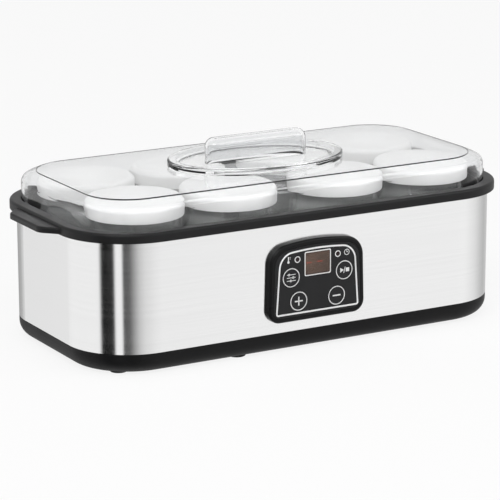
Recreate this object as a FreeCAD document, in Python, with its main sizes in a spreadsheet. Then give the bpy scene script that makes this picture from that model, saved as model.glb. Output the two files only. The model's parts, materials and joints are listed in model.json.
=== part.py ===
import FreeCAD, Part
import math
import os
from types import SimpleNamespace

import Sketcher
from FreeCAD import Placement, Rotation, Vector

# Yogurt maker: a steel-walled warmer with a clear lid over two rows of capped jars.
# Lengths are millimetres. The origin is on the table under the middle of the body,
# +X runs along the body, the control panel faces -Y and +Z is up.
# The body is sized around the jars: its length and width follow from their layout,
# and its height from the jars, the electronics bay and the lid.

SIZES = {
    # Jars and caps
    "cap_diameter": 69.6,
    "cap_height": 11.2,
    "cap_wall": 1.6,
    "cap_roof": 2,
    "cap_round": 3.5,
    "jar_inset": 1.3,
    "jar_height": 80.46,
    "jar_wall": 2.6,
    "jar_floor": 4,
    "jar_base_round": 5,
    "thread_gap": 3,
    "neck_height": 14.5,
    "neck_slope": 7,
    "jar_gap": 4.8,
    "middle_gap": 18.8,
    "row_gap": 5.4,
    "end_gap": 9.1,
    "side_gap": 3.2,
    # Steel wall
    "body_corner": 47,
    "sheet": 0.6,
    "slip_gap": 0.3,
    # Base tray and feet
    "foot_height": 1.2,
    "foot_sink": 0.8,
    "foot_diameter": 13,
    "foot_gap": 0.3,
    "foot_bevel": 0.6,
    "foot_inset_x": 26,
    "foot_inset_y": 23,
    "middle_foot_x": 55,
    "middle_foot_inset": 14.5,
    "base_height": 14.8,
    "base_round": 11,
    "base_wall": 2.2,
    "base_seam": 0.5,
    "upstand_height": 2.4,
    "upstand_root": 3,
    "upstand_wall": 2,
    "vent_length": 24,
    "vent_width": 3,
    "vent_pitch": 9,
    "vent_offset": 10,
    "vent_middle_x": -50,
    # Screws that tie the tub to the base
    "boss_diameter": 10,
    "boss_height": 6.6,
    "pillar_inset_x": 40,
    "pillar_inset_y": 22,
    "screw_head": 5.6,
    "screw_head_depth": 2.2,
    "screw_shank": 2.8,
    "screw_length": 14,
    "screw_sink": 2,
    "board_screw_length": 5,
    "screw_gap": 0.3,
    # Rim
    "rim_height": 6.8,
    "rim_overhang": 5,
    "rim_land": 8,
    "rim_round": 2,
    "rim_ledge": 4.5,
    "rim_groove": 2.5,
    "lid_seat_depth": 2.3,
    "tab_reach": 16,
    "tab_width": 48,
    "tab_slope": 17,
    "tab_lift": 0.5,
    "tab_thickness": 4.2,
    "tab_corner": 9,
    "tab_round": 1.5,
    # Lid
    "lid_gap": 0.6,
    "lid_wall": 1.8,
    "headspace": 5.04,
    "cap_proud": 15.46,
    "shoulder_inset": 11,
    "shoulder_height": 4.6,
    "shoulder_round": 6,
    "oval_length": 136,
    "oval_width": 98,
    "oval_rise": 4.4,
    "oval_rim": 6,
    "oval_round": 1.4,
    "dish_depth": 3,
    "handle_length": 82,
    "handle_width": 15,
    "handle_end_flat": 0.6,
    "handle_rise": 20,
    "handle_round": 6.8,
    # Inner tub
    "tub_wall": 1.8,
    "tub_floor": 2,
    "tub_flange": 2,
    "tub_flange_inset": 1.2,
    "tub_round": 2,
    # Heater under the tub
    "plate_thickness": 1.2,
    "plate_margin_x": 20,
    "plate_margin_y": 11,
    "plate_corner": 20,
    "cord_diameter": 2.6,
    "cord_gap": 0.1,
    "cord_margin": 8,
    "cord_tail": 6,
    "shield_thickness": 0.8,
    "shield_boss": 7,
    "shield_boss_x": 70,
    "shield_ear": 5,
    "fuse_length": 14,
    "fuse_diameter": 2.5,
    "sensor_x": -40,
    "sensor_length": 10,
    "lead_bend": 5,
    # Electronics bay
    "post_height": 4.6,
    "post_diameter": 6,
    "board_thickness": 1.6,
    "board_left": 5,
    "board_edge": 1.5,
    "board_screw_inset": 5,
    "board_screw_spread": 48,
    "transformer_length": 30,
    "transformer_width": 28,
    "transformer_height": 13,
    "bobbin_length": 18,
    "bobbin_overhang": 4,
    "bay_gap": 3.6,
    "relay_length": 19,
    "relay_width": 15,
    "relay_height": 11,
    "capacitor_diameter": 11,
    "capacitor_height": 12,
    "terminal_size": 9,
    "terminal_height": 8,
    # Control panel
    "panel_taper": 1.5,
    "panel_margin": 7,
    "panel_head": 4,
    "panel_arch": 165,
    "panel_lift": 8,
    "panel_proud": 4.8,
    "panel_round": 2,
    "panel_low_corner": 9,
    "panel_high_corner": 15,
    "overlay_inset": 3.6,
    "overlay_gap": 0.3,
    "overlay_sink": 0.1,
    "overlay_thickness": 0.8,
    "face_thickness": 1.5,
    "well_lift": 4,
    "well_wall": 1.3,
    "well_corner": 8,
    "key_diameter": 14,
    "key_gap": 0.3,
    "key_room": 1.8,
    "key_proud": 0.2,
    "key_flange": 0.6,
    "key_flange_thickness": 0.8,
    "key_flange_gap": 0.2,
    "key_travel": 0.4,
    "key_stop": 0.1,
    "upper_key_x": 21.8,
    "upper_key_lift": 32.5,
    "lower_key_x": 15.6,
    "lower_key_lift": 14.7,
    "window_width": 20.6,
    "window_height": 16.6,
    "window_lift": 40.8,
    "window_ledge": 1,
    "window_room": 0.9,
    "lamp_diameter": 3,
    "lamp_gap": 0.3,
    "lamp_x": 16.6,
    "lamp_rise": 4.2,
    "led_height": 1,
    "switch_size": 6,
    "switch_height": 1.9,
    "plunger_diameter": 3,
    "plunger_height": 0.6,
    "control_board_thickness": 1.4,
    "control_board_gap": 0.6,
    "panel_screw_inset_x": 5.7,
    "panel_screw_inset_z": 5.5,
    "panel_boss": 5.2,
    "panel_screw_head": 4,
    "panel_screw_head_depth": 1.2,
    "panel_screw_shank": 1.8,
    "panel_screw_bite": 2,
    # Ribbon between the boards
    "ribbon_left": 8,
    "ribbon_width": 12,
    "ribbon_thickness": 0.9,
    "ribbon_bend": 5,
    "ribbon_rise": 3.4,
    "ribbon_gap": 0.3,
    "socket_wall": 0.6,
    "power_socket_rise": 2.4,
    "socket_height": 6,
    "socket_overhang": 1,
    # Bush for the supply cord
    "inlet_x": 90,
    "inlet_room": 0.4,
    "inlet_bore": 7.4,
    "inlet_barrel": 10,
    "inlet_flange": 14,
    "inlet_flange_thickness": 2,
    "inlet_depth": 5,
    "inlet_lip": 11.2,
    "inlet_lip_length": 1,
    "inlet_gap": 0.3,
}

JARS_PER_ROW = 4
CORD_RUNS = 6
VENT_COUNT = 9

doc = FreeCAD.newDocument("yogurt_maker")
sheet = doc.addObject("Spreadsheet::Sheet", "sizes")
for row, (alias, number) in enumerate(SIZES.items(), start=1):
    sheet.set("A%d" % row, alias)
    sheet.set("B%d" % row, str(number))
    sheet.setAlias("B%d" % row, alias)
doc.recompute()


class Size:
    """A length with the spreadsheet expression that gives it."""

    def __init__(self, value, text):
        self.value = value
        self.text = text

    def __add__(self, other):
        other = as_size(other)
        return Size(self.value + other.value, "(%s + %s)" % (self.text, other.text))

    def __sub__(self, other):
        other = as_size(other)
        return Size(self.value - other.value, "(%s - %s)" % (self.text, other.text))

    def __mul__(self, other):
        other = as_size(other)
        return Size(self.value * other.value, "(%s * %s)" % (self.text, other.text))

    def __truediv__(self, other):
        other = as_size(other)
        return Size(self.value / other.value, "(%s / %s)" % (self.text, other.text))

    def __neg__(self):
        return Size(-self.value, "(-1 * %s)" % self.text)

    def __radd__(self, other):
        return as_size(other) + self

    def __rsub__(self, other):
        return as_size(other) - self

    def __rmul__(self, other):
        return as_size(other) * self

    def hypot(self, other):
        root = math.hypot(self.value, other.value)
        return Size(root, "sqrt(%s ^ 2 + %s ^ 2)" % (self.text, other.text))


def as_size(number):
    return number if isinstance(number, Size) else Size(float(number), repr(float(number)))


s = SimpleNamespace(**{alias: Size(number, "sizes." + alias) for alias, number in SIZES.items()})
sub_parts = []


def bind(item, prop, size):
    item.setExpression(prop, as_size(size).text)


def keep(item, label):
    """Name a finished piece and list it for export."""
    item.Label = label
    sub_parts.append(item)
    return item


# Sketches

def new_body(name):
    return doc.addObject("PartDesign::Body", name)


def new_sketch(body, plane, height):
    """Sketch on one of the body's origin planes, moved along the plane's normal."""
    sketch = body.newObject("Sketcher::SketchObject", body.Name + "_sketch")
    role = plane + "_Plane"
    support = [feature for feature in body.Origin.OriginFeatures if feature.Role == role]
    sketch.AttachmentSupport = (support[0], [""])
    sketch.MapMode = "FlatFace"
    bind(sketch, "AttachmentOffset.Base.z", height)
    return sketch


def dimension(sketch, kind, size, *where):
    index = sketch.addConstraint(Sketcher.Constraint(kind, *where, size.value))
    name = "size%d" % index
    sketch.renameConstraint(index, name)
    bind(sketch, "Constraints." + name, size)


def pin(sketch, geometry, point, x, y):
    """Hold a point of the sketch at x, y from the sketch's origin."""
    for axis, kind, size in ((-2, "DistanceX", as_size(x)), (-1, "DistanceY", as_size(y))):
        if abs(size.value) < 1e-9:
            sketch.addConstraint(Sketcher.Constraint("PointOnObject", geometry, point, axis))
        elif size.value > 0:
            dimension(sketch, kind, size, -1, 1, geometry, point)
        else:
            dimension(sketch, kind, -size, geometry, point, -1, 1)


def draw_line(sketch, start, end):
    return sketch.addGeometry(Part.LineSegment(start, end))


def draw_polygon(sketch, points):
    points = [(as_size(x), as_size(y)) for x, y in points]
    corners = [Vector(x.value, y.value, 0) for x, y in points]
    count = len(points)
    first = sketch.GeometryCount
    for i in range(count):
        sketch.addGeometry(Part.LineSegment(corners[i], corners[(i + 1) % count]))
    for i in range(count):
        after = first + (i + 1) % count
        sketch.addConstraint(Sketcher.Constraint("Coincident", first + i, 2, after, 1))
        pin(sketch, first + i, 1, *points[i])


def draw_circle(sketch, x, y, diameter):
    x, y, radius = as_size(x), as_size(y), diameter / 2
    shape = Part.Circle(Vector(x.value, y.value, 0), Vector(0, 0, 1), radius.value)
    circle = sketch.addGeometry(shape)
    dimension(sketch, "Radius", radius, circle)
    pin(sketch, circle, 3, x, y)


def draw_circles(sketch, places, diameter):
    for x, y in places:
        draw_circle(sketch, x, y, diameter)


def draw_ellipse(sketch, length, width):
    shape = Part.Ellipse(Vector(0, 0, 0), length.value / 2, width.value / 2)
    ellipse = sketch.addGeometry(shape)
    sketch.exposeInternalGeometry(ellipse)
    major, minor = ellipse + 1, ellipse + 2
    sketch.addConstraint(Sketcher.Constraint("Coincident", ellipse, 3, -1, 1))
    sketch.addConstraint(Sketcher.Constraint("Horizontal", major))
    dimension(sketch, "Distance", length, major)
    dimension(sketch, "Distance", width, minor)


def draw_rectangle(sketch, length, width, corner, x=0, y=0):
    """Rectangle with round corners about the point x, y."""
    x, y = as_size(x), as_size(y)
    reach_x = length / 2 - corner
    reach_y = width / 2 - corner
    arcs = []
    for side_x, side_y, start in ((1, -1, -90), (1, 1, 0), (-1, 1, 90), (-1, -1, 180)):
        centre = Vector(x.value + side_x * reach_x.value, y.value + side_y * reach_y.value, 0)
        circle = Part.Circle(centre, Vector(0, 0, 1), corner.value)
        quarter = Part.ArcOfCircle(circle, math.radians(start), math.radians(start + 90))
        arcs.append(sketch.addGeometry(quarter))
    for i, arc in enumerate(arcs):
        after = arcs[(i + 1) % 4]
        begin = sketch.Geometry[arc].EndPoint
        end = sketch.Geometry[after].StartPoint
        side = sketch.addGeometry(Part.LineSegment(begin, end))
        sketch.addConstraint(Sketcher.Constraint("Tangent", arc, 2, side, 1))
        sketch.addConstraint(Sketcher.Constraint("Tangent", side, 2, after, 1))
        sketch.addConstraint(Sketcher.Constraint("Horizontal" if i % 2 else "Vertical", side))
    for arc in arcs[1:]:
        sketch.addConstraint(Sketcher.Constraint("Equal", arcs[0], arc))
    dimension(sketch, "Radius", corner, arcs[0])
    pin(sketch, arcs[0], 3, x + reach_x, y - reach_y)
    pin(sketch, arcs[2], 3, x - reach_x, y + reach_y)


def draw_outline(sketch, offset):
    """Plan outline of the body, grown or shrunk by an offset."""
    draw_rectangle(sketch, body_length + 2 * offset, body_width + 2 * offset, s.body_corner + offset)


def draw_panel(sketch, inset):
    """Front outline of the control panel: a trapezium with an arched top, corners still sharp."""
    low = panel_bottom + inset
    high = panel_bottom + panel_side - inset
    low_half = panel_half - inset
    high_half = low_half - s.panel_taper
    radius = s.panel_arch - inset
    corners = [(high_half, high), (-high_half, high), (-low_half, low), (low_half, low)]
    points = [Vector(x.value, z.value, 0) for x, z in corners]
    rise = radius.value - math.sqrt(radius.value ** 2 - high_half.value ** 2)
    crown = Vector(0, high.value + rise, 0)
    sketch.addGeometry(Part.Arc(points[0], crown, points[1]))
    for i in range(1, 4):
        sketch.addGeometry(Part.LineSegment(points[i], points[(i + 1) % 4]))
    for i in range(4):
        sketch.addConstraint(Sketcher.Constraint("Coincident", i, 2, (i + 1) % 4, 1))
        pin(sketch, i, 1, *corners[i])
    dimension(sketch, "Radius", radius, 0)


# Solid features

def pad(body, sketch, length, reverse=False):
    feature = body.newObject("PartDesign::Pad", body.Name + "_pad")
    feature.Profile = sketch
    feature.Reversed = reverse
    bind(feature, "Length", length)
    sketch.Visibility = False
    return feature


def pocket(body, sketch, depth, reverse=False):
    feature = body.newObject("PartDesign::Pocket", body.Name + "_pocket")
    feature.Profile = sketch
    feature.Reversed = reverse
    bind(feature, "Length", depth)
    sketch.Visibility = False
    return feature


def revolve(body, points):
    sketch = new_sketch(body, "XZ", 0)
    draw_polygon(sketch, points)
    feature = body.newObject("PartDesign::Revolution", body.Name + "_turned")
    feature.Profile = sketch
    feature.ReferenceAxis = (sketch, ["V_Axis"])
    feature.Angle = 360
    sketch.Visibility = False
    return feature


def edges_where(feature, test):
    doc.recompute()
    return ["Edge%d" % i for i, edge in enumerate(feature.Shape.Edges, start=1) if test(edge)]


def at_height(height):
    """Test for edges that lie level at one height."""
    def test(edge):
        box = edge.BoundBox
        return abs(box.ZMin - height.value) < 1e-4 and abs(box.ZMax - height.value) < 1e-4
    return test


def round_edges(body, feature, radius, test):
    fillet = body.newObject("PartDesign::Fillet", body.Name + "_round")
    fillet.Base = (feature, edges_where(feature, test))
    bind(fillet, "Radius", radius)
    return fillet


def pipe(body, path, profile):
    feature = body.newObject("PartDesign::AdditivePipe", body.Name + "_pipe")
    feature.Profile = profile
    doc.recompute()
    feature.Spine = (path, ["Edge%d" % i for i in range(1, len(path.Shape.Edges) + 1)])
    return feature


def place(item, x, y, z, rotation=None):
    if rotation:
        item.Placement = Placement(Vector(0, 0, 0), rotation)
    for axis, size in (("x", x), ("y", y), ("z", z)):
        bind(item, "Placement.Base." + axis, size)
    return item


def box(name, low, high):
    item = doc.addObject("Part::Box", name)
    for prop, start, end in zip(("Length", "Width", "Height"), low, high):
        bind(item, prop, as_size(end) - start)
    return place(item, *low)


ALONG = {
    "x": Rotation(Vector(0, 1, 0), 90),
    "y": Rotation(Vector(1, 0, 0), -90),
    "z": Rotation(),
}


def cylinder(name, start, axis, diameter, length):
    item = doc.addObject("Part::Cylinder", name)
    bind(item, "Radius", diameter / 2)
    bind(item, "Height", length)
    return place(item, *start, rotation=ALONG[axis])


def fuse(name, shapes):
    item = doc.addObject("Part::MultiFuse", name)
    item.Shapes = shapes
    return item


def group(name, shapes):
    item = doc.addObject("Part::Compound", name)
    item.Links = shapes
    return item


def cut(name, base, tool):
    item = doc.addObject("Part::Cut", name)
    item.Base = base
    item.Tool = tool
    return item


# Jar layout, which sets the body's plan

cap_radius = s.cap_diameter / 2
near_x = s.middle_gap / 2 + cap_radius
far_x = near_x + s.cap_diameter + s.jar_gap
row_y = s.row_gap / 2 + cap_radius
rim_wall = s.rim_land - s.rim_overhang
rim_opening = rim_wall + s.rim_ledge
body_length = 2 * (far_x + cap_radius + s.end_gap + rim_opening)
body_width = 2 * (row_y + cap_radius + s.side_gap + rim_opening)
half_length = body_length / 2
half_width = body_width / 2

# Heights, from the table up

base_bottom = s.foot_height
base_floor = base_bottom + s.base_wall
base_top = base_bottom + s.base_height
boss_top = base_floor + s.boss_height
board_bottom = base_floor + s.post_height
board_top = board_bottom + s.board_thickness
shield_bottom = board_top + s.transformer_height + s.bay_gap
shield_top = shield_bottom + s.shield_thickness
cord_height = shield_top + s.cord_gap + s.cord_diameter / 2
plate_bottom = cord_height + s.cord_diameter / 2 + s.cord_gap
tub_bottom = plate_bottom + s.plate_thickness
jar_bottom = tub_bottom + s.tub_floor
cap_top = jar_bottom + s.jar_height + s.cap_roof
cap_bottom = cap_top - s.cap_height
lid_seat = cap_top - s.cap_proud
lid_top = cap_top + s.headspace + s.lid_wall
handle_top = lid_top + s.handle_rise
rim_top = lid_seat + s.lid_seat_depth
rim_bottom = rim_top - s.rim_height
steel_top = rim_bottom + s.rim_groove
panel_bottom = base_top + s.panel_lift
dish_floor = lid_top + s.oval_rise - s.dish_depth

# Panel depths, from its front face inwards along +Y

wall_front = -half_width
panel_front = wall_front - s.panel_proud
overlay_front = panel_front + s.overlay_sink
overlay_back = overlay_front + s.overlay_thickness
face_back = overlay_back + s.face_thickness
flange_front = face_back + s.key_flange_gap
key_back = flange_front + s.key_flange_thickness
switch_front = key_back + s.key_travel + s.key_stop
control_front = switch_front + s.switch_height
control_back = control_front + s.control_board_thickness

pillar_x = half_length - s.pillar_inset_x
pillar_y = half_width - s.pillar_inset_y
pillars = [(x, y) for x in (-pillar_x, as_size(0), pillar_x) for y in (-pillar_y, pillar_y)]
foot_x = half_length - s.foot_inset_x
foot_y = half_width - s.foot_inset_y
middle_foot_y = half_width - s.middle_foot_inset
feet = {
    "foot_front_left": (-foot_x, -foot_y),
    "foot_front_right": (foot_x, -foot_y),
    "foot_rear_left": (-foot_x, foot_y),
    "foot_rear_right": (foot_x, foot_y),
    "foot_front_middle": (-s.middle_foot_x, -middle_foot_y),
    "foot_rear_middle": (s.middle_foot_x, middle_foot_y),
}
inlet_z = base_top + s.upstand_height + s.inlet_room + s.inlet_lip / 2

# Heater runs and the screws of the shield

plate_half_x = pillar_x - s.plate_margin_x
plate_half_y = pillar_y - s.plate_margin_y
run_reach = plate_half_x - s.cord_margin
run_pitch = 2 * (plate_half_y - s.cord_margin) / (CORD_RUNS - 1)
run_side = run_pitch * ((CORD_RUNS - 1) / 2)
cord_end = plate_half_x + s.cord_tail
ear_y = plate_half_y + s.shield_boss
shield_places = [(x, y) for x in (-s.shield_boss_x, s.shield_boss_x) for y in (-ear_y, ear_y)]
lead_x = cord_end + s.lead_bend

# Power board, which reaches to the terminal blocks under the heater's leads

half_terminal = s.terminal_size / 2
board_right = lead_x + half_terminal + s.board_edge
board_half = run_side + half_terminal + s.board_edge
board_posts = [
    (x, y)
    for x in (s.board_left + s.board_screw_inset, board_right - s.board_screw_inset)
    for y in (-s.board_screw_spread / 2, s.board_screw_spread / 2)
]

# Places on the panel's face, as x and z

well_bottom = panel_bottom + s.well_lift
window_z = panel_bottom + s.window_lift
well_top = window_z + s.window_height / 2 + s.window_room
well_height = well_top - well_bottom
well_middle = well_bottom + well_height / 2
well_half = s.upper_key_x + s.key_diameter / 2 + s.key_flange + s.key_room + s.well_wall
well_width = 2 * well_half
panel_half = well_half + s.panel_margin
panel_side = well_top + s.panel_head - panel_bottom
upper_key_z = panel_bottom + s.upper_key_lift
lower_key_z = panel_bottom + s.lower_key_lift
lamp_z = window_z + s.lamp_rise
keys = {
    "function_key": (-s.upper_key_x, upper_key_z),
    "start_key": (s.upper_key_x, upper_key_z),
    "plus_key": (-s.lower_key_x, lower_key_z),
    "minus_key": (s.lower_key_x, lower_key_z),
}
lamps = [(-s.lamp_x, lamp_z), (s.lamp_x, lamp_z)]
panel_screw_x = well_half - s.panel_screw_inset_x
panel_screws = [
    (x, z)
    for x in (-panel_screw_x, panel_screw_x)
    for z in (well_bottom + s.panel_screw_inset_z, well_top - s.panel_screw_inset_z)
]


# Base tray: rounded shell with vents, screw bosses, board posts and an upstand inside the steel

def make_base_tray():
    body = new_body("base_tray")
    plan = new_sketch(body, "XY", base_bottom)
    draw_outline(plan, as_size(0))
    pad(body, plan, s.base_height)
    hollow = new_sketch(body, "XY", base_top)
    draw_outline(hollow, -s.base_wall)
    inside = pocket(body, hollow, s.base_height - s.base_wall)
    shell = round_edges(body, inside, s.base_round - s.base_wall, at_height(base_floor))
    shell = round_edges(body, shell, s.base_round, at_height(base_bottom))

    def outer_top(edge):
        box = edge.BoundBox
        wide = max(-box.XMin, box.XMax) > half_length.value - s.base_wall.value / 2
        deep = max(-box.YMin, box.YMax) > half_width.value - s.base_wall.value / 2
        return at_height(base_top)(edge) and (wide or deep)
    seam = body.newObject("PartDesign::Chamfer", "base_tray_seam")
    seam.Base = (shell, edges_where(shell, outer_top))
    bind(seam, "Size", s.base_seam)
    ring = new_sketch(body, "XY", base_top - s.upstand_root)
    draw_outline(ring, -(s.sheet + s.slip_gap))
    draw_outline(ring, -(s.sheet + s.slip_gap + s.upstand_wall))
    pad(body, ring, s.upstand_root + s.upstand_height)
    half_floor = s.base_wall / 2
    bosses = new_sketch(body, "XY", base_floor - half_floor)
    draw_circles(bosses, pillars, s.boss_diameter)
    pad(body, bosses, s.boss_height + half_floor)
    posts = new_sketch(body, "XY", base_floor - half_floor)
    draw_circles(posts, board_posts, s.post_diameter)
    pad(body, posts, s.post_height + half_floor)
    pilots = new_sketch(body, "XY", board_bottom)
    draw_circles(pilots, board_posts, s.screw_shank + 2 * s.screw_gap)
    pocket(body, pilots, s.post_height)
    sinks = new_sketch(body, "XY", base_bottom)
    draw_circles(sinks, pillars, s.screw_head + 2 * s.screw_gap)
    pocket(body, sinks, s.screw_sink + s.screw_head_depth, reverse=True)
    holes = new_sketch(body, "XY", base_bottom)
    draw_circles(holes, pillars, s.screw_shank + 2 * s.screw_gap)
    pocket(body, holes, s.base_wall + s.boss_height, reverse=True)
    recesses = new_sketch(body, "XY", base_bottom)
    draw_circles(recesses, feet.values(), s.foot_diameter + 2 * s.foot_gap)
    pocket(body, recesses, s.foot_sink, reverse=True)
    slots = new_sketch(body, "XY", base_bottom)
    first_x = s.vent_middle_x - s.vent_pitch * ((VENT_COUNT - 1) / 2)
    slot_y = s.vent_offset + s.vent_length / 2
    slot_corner = s.vent_width / 2 - s.vent_width / 10
    for y in (-slot_y, slot_y):
        draw_rectangle(slots, s.vent_width, s.vent_length, slot_corner, first_x, y)
    first_vents = pocket(body, slots, s.base_wall, reverse=True)
    vents = body.newObject("PartDesign::LinearPattern", "base_tray_vents")
    vents.Originals = [first_vents]
    vents.Direction = (slots, ["H_Axis"])
    vents.Occurrences = VENT_COUNT
    bind(vents, "Length", s.vent_pitch * (VENT_COUNT - 1))
    body.Tip = vents
    return keep(body, "base_tray")


def make_feet():
    radius = s.foot_diameter / 2
    height = s.foot_height + s.foot_sink
    profile = [(0, 0), (radius - s.foot_bevel, 0), (radius, s.foot_bevel), (radius, height), (0, height)]
    for name, (x, y) in feet.items():
        body = new_body(name)
        revolve(body, profile)
        keep(place(body, x, y, 0), name)


# Steel wall: a closed band with the panel's cut-out and the hole for the bush

def make_steel_band():
    body = new_body("steel_band")
    ring = new_sketch(body, "XY", base_top)
    draw_outline(ring, as_size(0))
    draw_outline(ring, -s.sheet)
    pad(body, ring, steel_top - base_top)
    opening = new_sketch(body, "XZ", half_width + s.sheet)
    length = well_width + 2 * s.slip_gap
    height = well_height + 2 * s.slip_gap
    draw_rectangle(opening, length, height, s.well_corner + s.slip_gap, 0, well_middle)
    pocket(body, opening, 3 * s.sheet)
    hole = new_sketch(body, "XZ", -half_width + 2 * s.sheet)
    draw_circle(hole, s.inlet_x, inlet_z, s.inlet_barrel + 2 * s.inlet_gap)
    pocket(body, hole, 3 * s.sheet)
    return keep(body, "steel_band")


# Rim: frame with the lid's seat, a groove over the steel's edge and a carrying tab at each end

def make_rim_frame():
    body = new_body("rim_frame")
    plan = new_sketch(body, "XY", rim_bottom)
    draw_outline(plan, s.rim_overhang)
    frame = pad(body, plan, s.rim_height)
    frame = round_edges(body, frame, s.rim_round, at_height(rim_top))
    tab_bottom = rim_bottom + s.tab_lift
    tab_top = tab_bottom + s.tab_thickness
    tabs = new_sketch(body, "XY", tab_bottom)
    tip = s.tab_width / 2
    root = tip + s.tab_slope
    for side in (1, -1):
        near = half_length * side
        far = (half_length + s.tab_reach) * side
        draw_polygon(tabs, [(near, -root * side), (far, -tip * side), (far, tip * side), (near, root * side)])
    tabs = pad(body, tabs, s.tab_thickness)

    def at_tab_corner(edge):
        box = edge.BoundBox
        upright = box.ZMax - box.ZMin > s.tab_thickness.value - 1e-4
        return upright and min(abs(box.XMin), abs(box.XMax)) > half_length.value + s.tab_reach.value - 1e-4
    tabs = round_edges(body, tabs, s.tab_corner, at_tab_corner)

    def on_tab(edge):
        box = edge.BoundBox
        outside = min(abs(box.XMin), abs(box.XMax)) > half_length.value + s.rim_overhang.value + 0.01
        level = abs(box.ZMin - tab_top.value) < 1e-4 and abs(box.ZMax - tab_top.value) < 1e-4
        return outside and level
    round_edges(body, tabs, s.tab_round, on_tab)
    opening = new_sketch(body, "XY", rim_top)
    draw_outline(opening, -rim_opening)
    pocket(body, opening, s.rim_height)
    seat = new_sketch(body, "XY", rim_top)
    draw_outline(seat, -rim_wall)
    pocket(body, seat, s.lid_seat_depth)
    groove = new_sketch(body, "XY", rim_bottom)
    draw_outline(groove, s.slip_gap)
    draw_outline(groove, -(s.sheet + s.slip_gap))
    pocket(body, groove, s.rim_groove, reverse=True)
    return keep(body, "rim_frame")


# Inner tub: hangs by its flange under the rim, with pillars for the base screws

def make_inner_tub():
    body = new_body("inner_tub")
    plan = new_sketch(body, "XY", tub_bottom)
    draw_outline(plan, -(rim_opening - s.tub_wall))
    block = pad(body, plan, rim_bottom - tub_bottom)
    round_edges(body, block, s.tub_round + s.tub_wall, at_height(tub_bottom))
    flange = new_sketch(body, "XY", rim_bottom - s.tub_flange)
    draw_outline(flange, -s.tub_flange_inset)
    pad(body, flange, s.tub_flange)
    hollow = new_sketch(body, "XY", rim_bottom)
    draw_outline(hollow, -rim_opening)
    inside = pocket(body, hollow, rim_bottom - jar_bottom)
    round_edges(body, inside, s.tub_round, at_height(jar_bottom))
    legs = new_sketch(body, "XY", boss_top)
    draw_circles(legs, pillars, s.boss_diameter)
    pad(body, legs, tub_bottom - boss_top + s.tub_floor / 2)
    pilots = new_sketch(body, "XY", boss_top)
    draw_circles(pilots, pillars, s.screw_shank + 2 * s.screw_gap)
    pocket(body, pilots, s.screw_length, reverse=True)
    bosses = new_sketch(body, "XY", shield_top)
    draw_circles(bosses, shield_places, s.shield_boss)
    pad(body, bosses, tub_bottom - shield_top + s.tub_floor / 2)
    shield_pilots = new_sketch(body, "XY", shield_top)
    draw_circles(shield_pilots, shield_places, s.panel_screw_shank + 2 * s.screw_gap)
    pocket(body, shield_pilots, s.panel_screw_bite + s.screw_gap, reverse=True)
    return keep(body, "inner_tub")


# Lid: the clear moulding is an outer form less the same form drawn in by the wall

def make_lid_form(name, wall, shoulder_inset, shoulder_height, bottom):
    """Rounded tray upside down, with a sloped shoulder that meets the top in a crease."""
    body = new_body(name)
    plan = new_sketch(body, "XY", bottom)
    draw_outline(plan, -(rim_wall + s.lid_gap + wall))
    top = lid_top - wall
    block = pad(body, plan, top - bottom)
    slope = body.newObject("PartDesign::Chamfer", name + "_slope")
    slope.Base = (block, edges_where(block, at_height(top)))
    slope.ChamferType = "Two distances"
    bind(slope, "Size", shoulder_height)
    bind(slope, "Size2", shoulder_inset)
    knee = top - shoulder_height
    round_edges(body, slope, s.shoulder_round - wall, at_height(knee))
    return body


def add_handle(body, start, wall):
    end_radius = (s.handle_width - s.handle_end_flat) / 2 - wall
    plan = new_sketch(body, "XY", start)
    draw_rectangle(plan, s.handle_length - 2 * wall, s.handle_width - 2 * wall, end_radius)
    bar = pad(body, plan, handle_top - wall - start)
    round_edges(body, bar, s.handle_round - wall, at_height(handle_top - wall))


def make_lid():
    none = as_size(0)
    outer = make_lid_form("lid_outer", none, s.shoulder_inset, s.shoulder_height, lid_seat)
    oval_top = lid_top + s.oval_rise
    plan = new_sketch(outer, "XY", lid_top)
    draw_ellipse(plan, s.oval_length, s.oval_width)
    oval = pad(outer, plan, s.oval_rise)
    round_edges(outer, oval, s.oval_round, at_height(oval_top))
    dish = new_sketch(outer, "XY", oval_top)
    dish_length = s.oval_length - 2 * s.oval_rim
    dish_width = s.oval_width - 2 * s.oval_rim
    draw_ellipse(dish, dish_length, dish_width)
    pocket(outer, dish, s.dish_depth)
    add_handle(outer, lid_top, none)
    slope_length = s.shoulder_inset.hypot(s.shoulder_height)
    share = s.lid_wall / slope_length
    rise = s.shoulder_height - s.lid_wall + share * s.shoulder_inset
    inset = s.shoulder_inset / s.shoulder_height * rise + share * s.shoulder_height - s.lid_wall
    drop = inset * s.shoulder_height / s.shoulder_inset
    inner = make_lid_form("lid_inner", s.lid_wall, inset, drop, lid_seat - s.lid_wall)
    well = new_sketch(inner, "XY", lid_top - 2 * s.lid_wall)
    draw_ellipse(well, dish_length - 2 * s.lid_wall, dish_width - 2 * s.lid_wall)
    pad(inner, well, dish_floor - lid_top + s.lid_wall)
    add_handle(inner, lid_top - 2 * s.lid_wall, s.lid_wall)
    return keep(cut("lid", outer, inner), "lid")


# Jars and caps

def make_jar(number, x, y):
    body = new_body("jar_%d" % number)
    radius = cap_radius - s.jar_inset
    neck = cap_radius - s.cap_wall - s.thread_gap
    slope_top = s.jar_height - s.neck_height
    slope_bottom = slope_top - s.neck_slope
    turned = revolve(body, [
        (0, 0),
        (radius, 0),
        (radius, slope_bottom),
        (neck, slope_top),
        (neck, s.jar_height),
        (neck - s.jar_wall, s.jar_height),
        (neck - s.jar_wall, slope_top - s.jar_wall / 2),
        (radius - s.jar_wall, slope_bottom - s.jar_wall / 2),
        (radius - s.jar_wall, s.jar_floor),
        (0, s.jar_floor),
    ])
    round_edges(body, turned, s.jar_base_round, at_height(as_size(0)))
    keep(place(body, x, y, jar_bottom), "jar_%d" % number)


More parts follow.
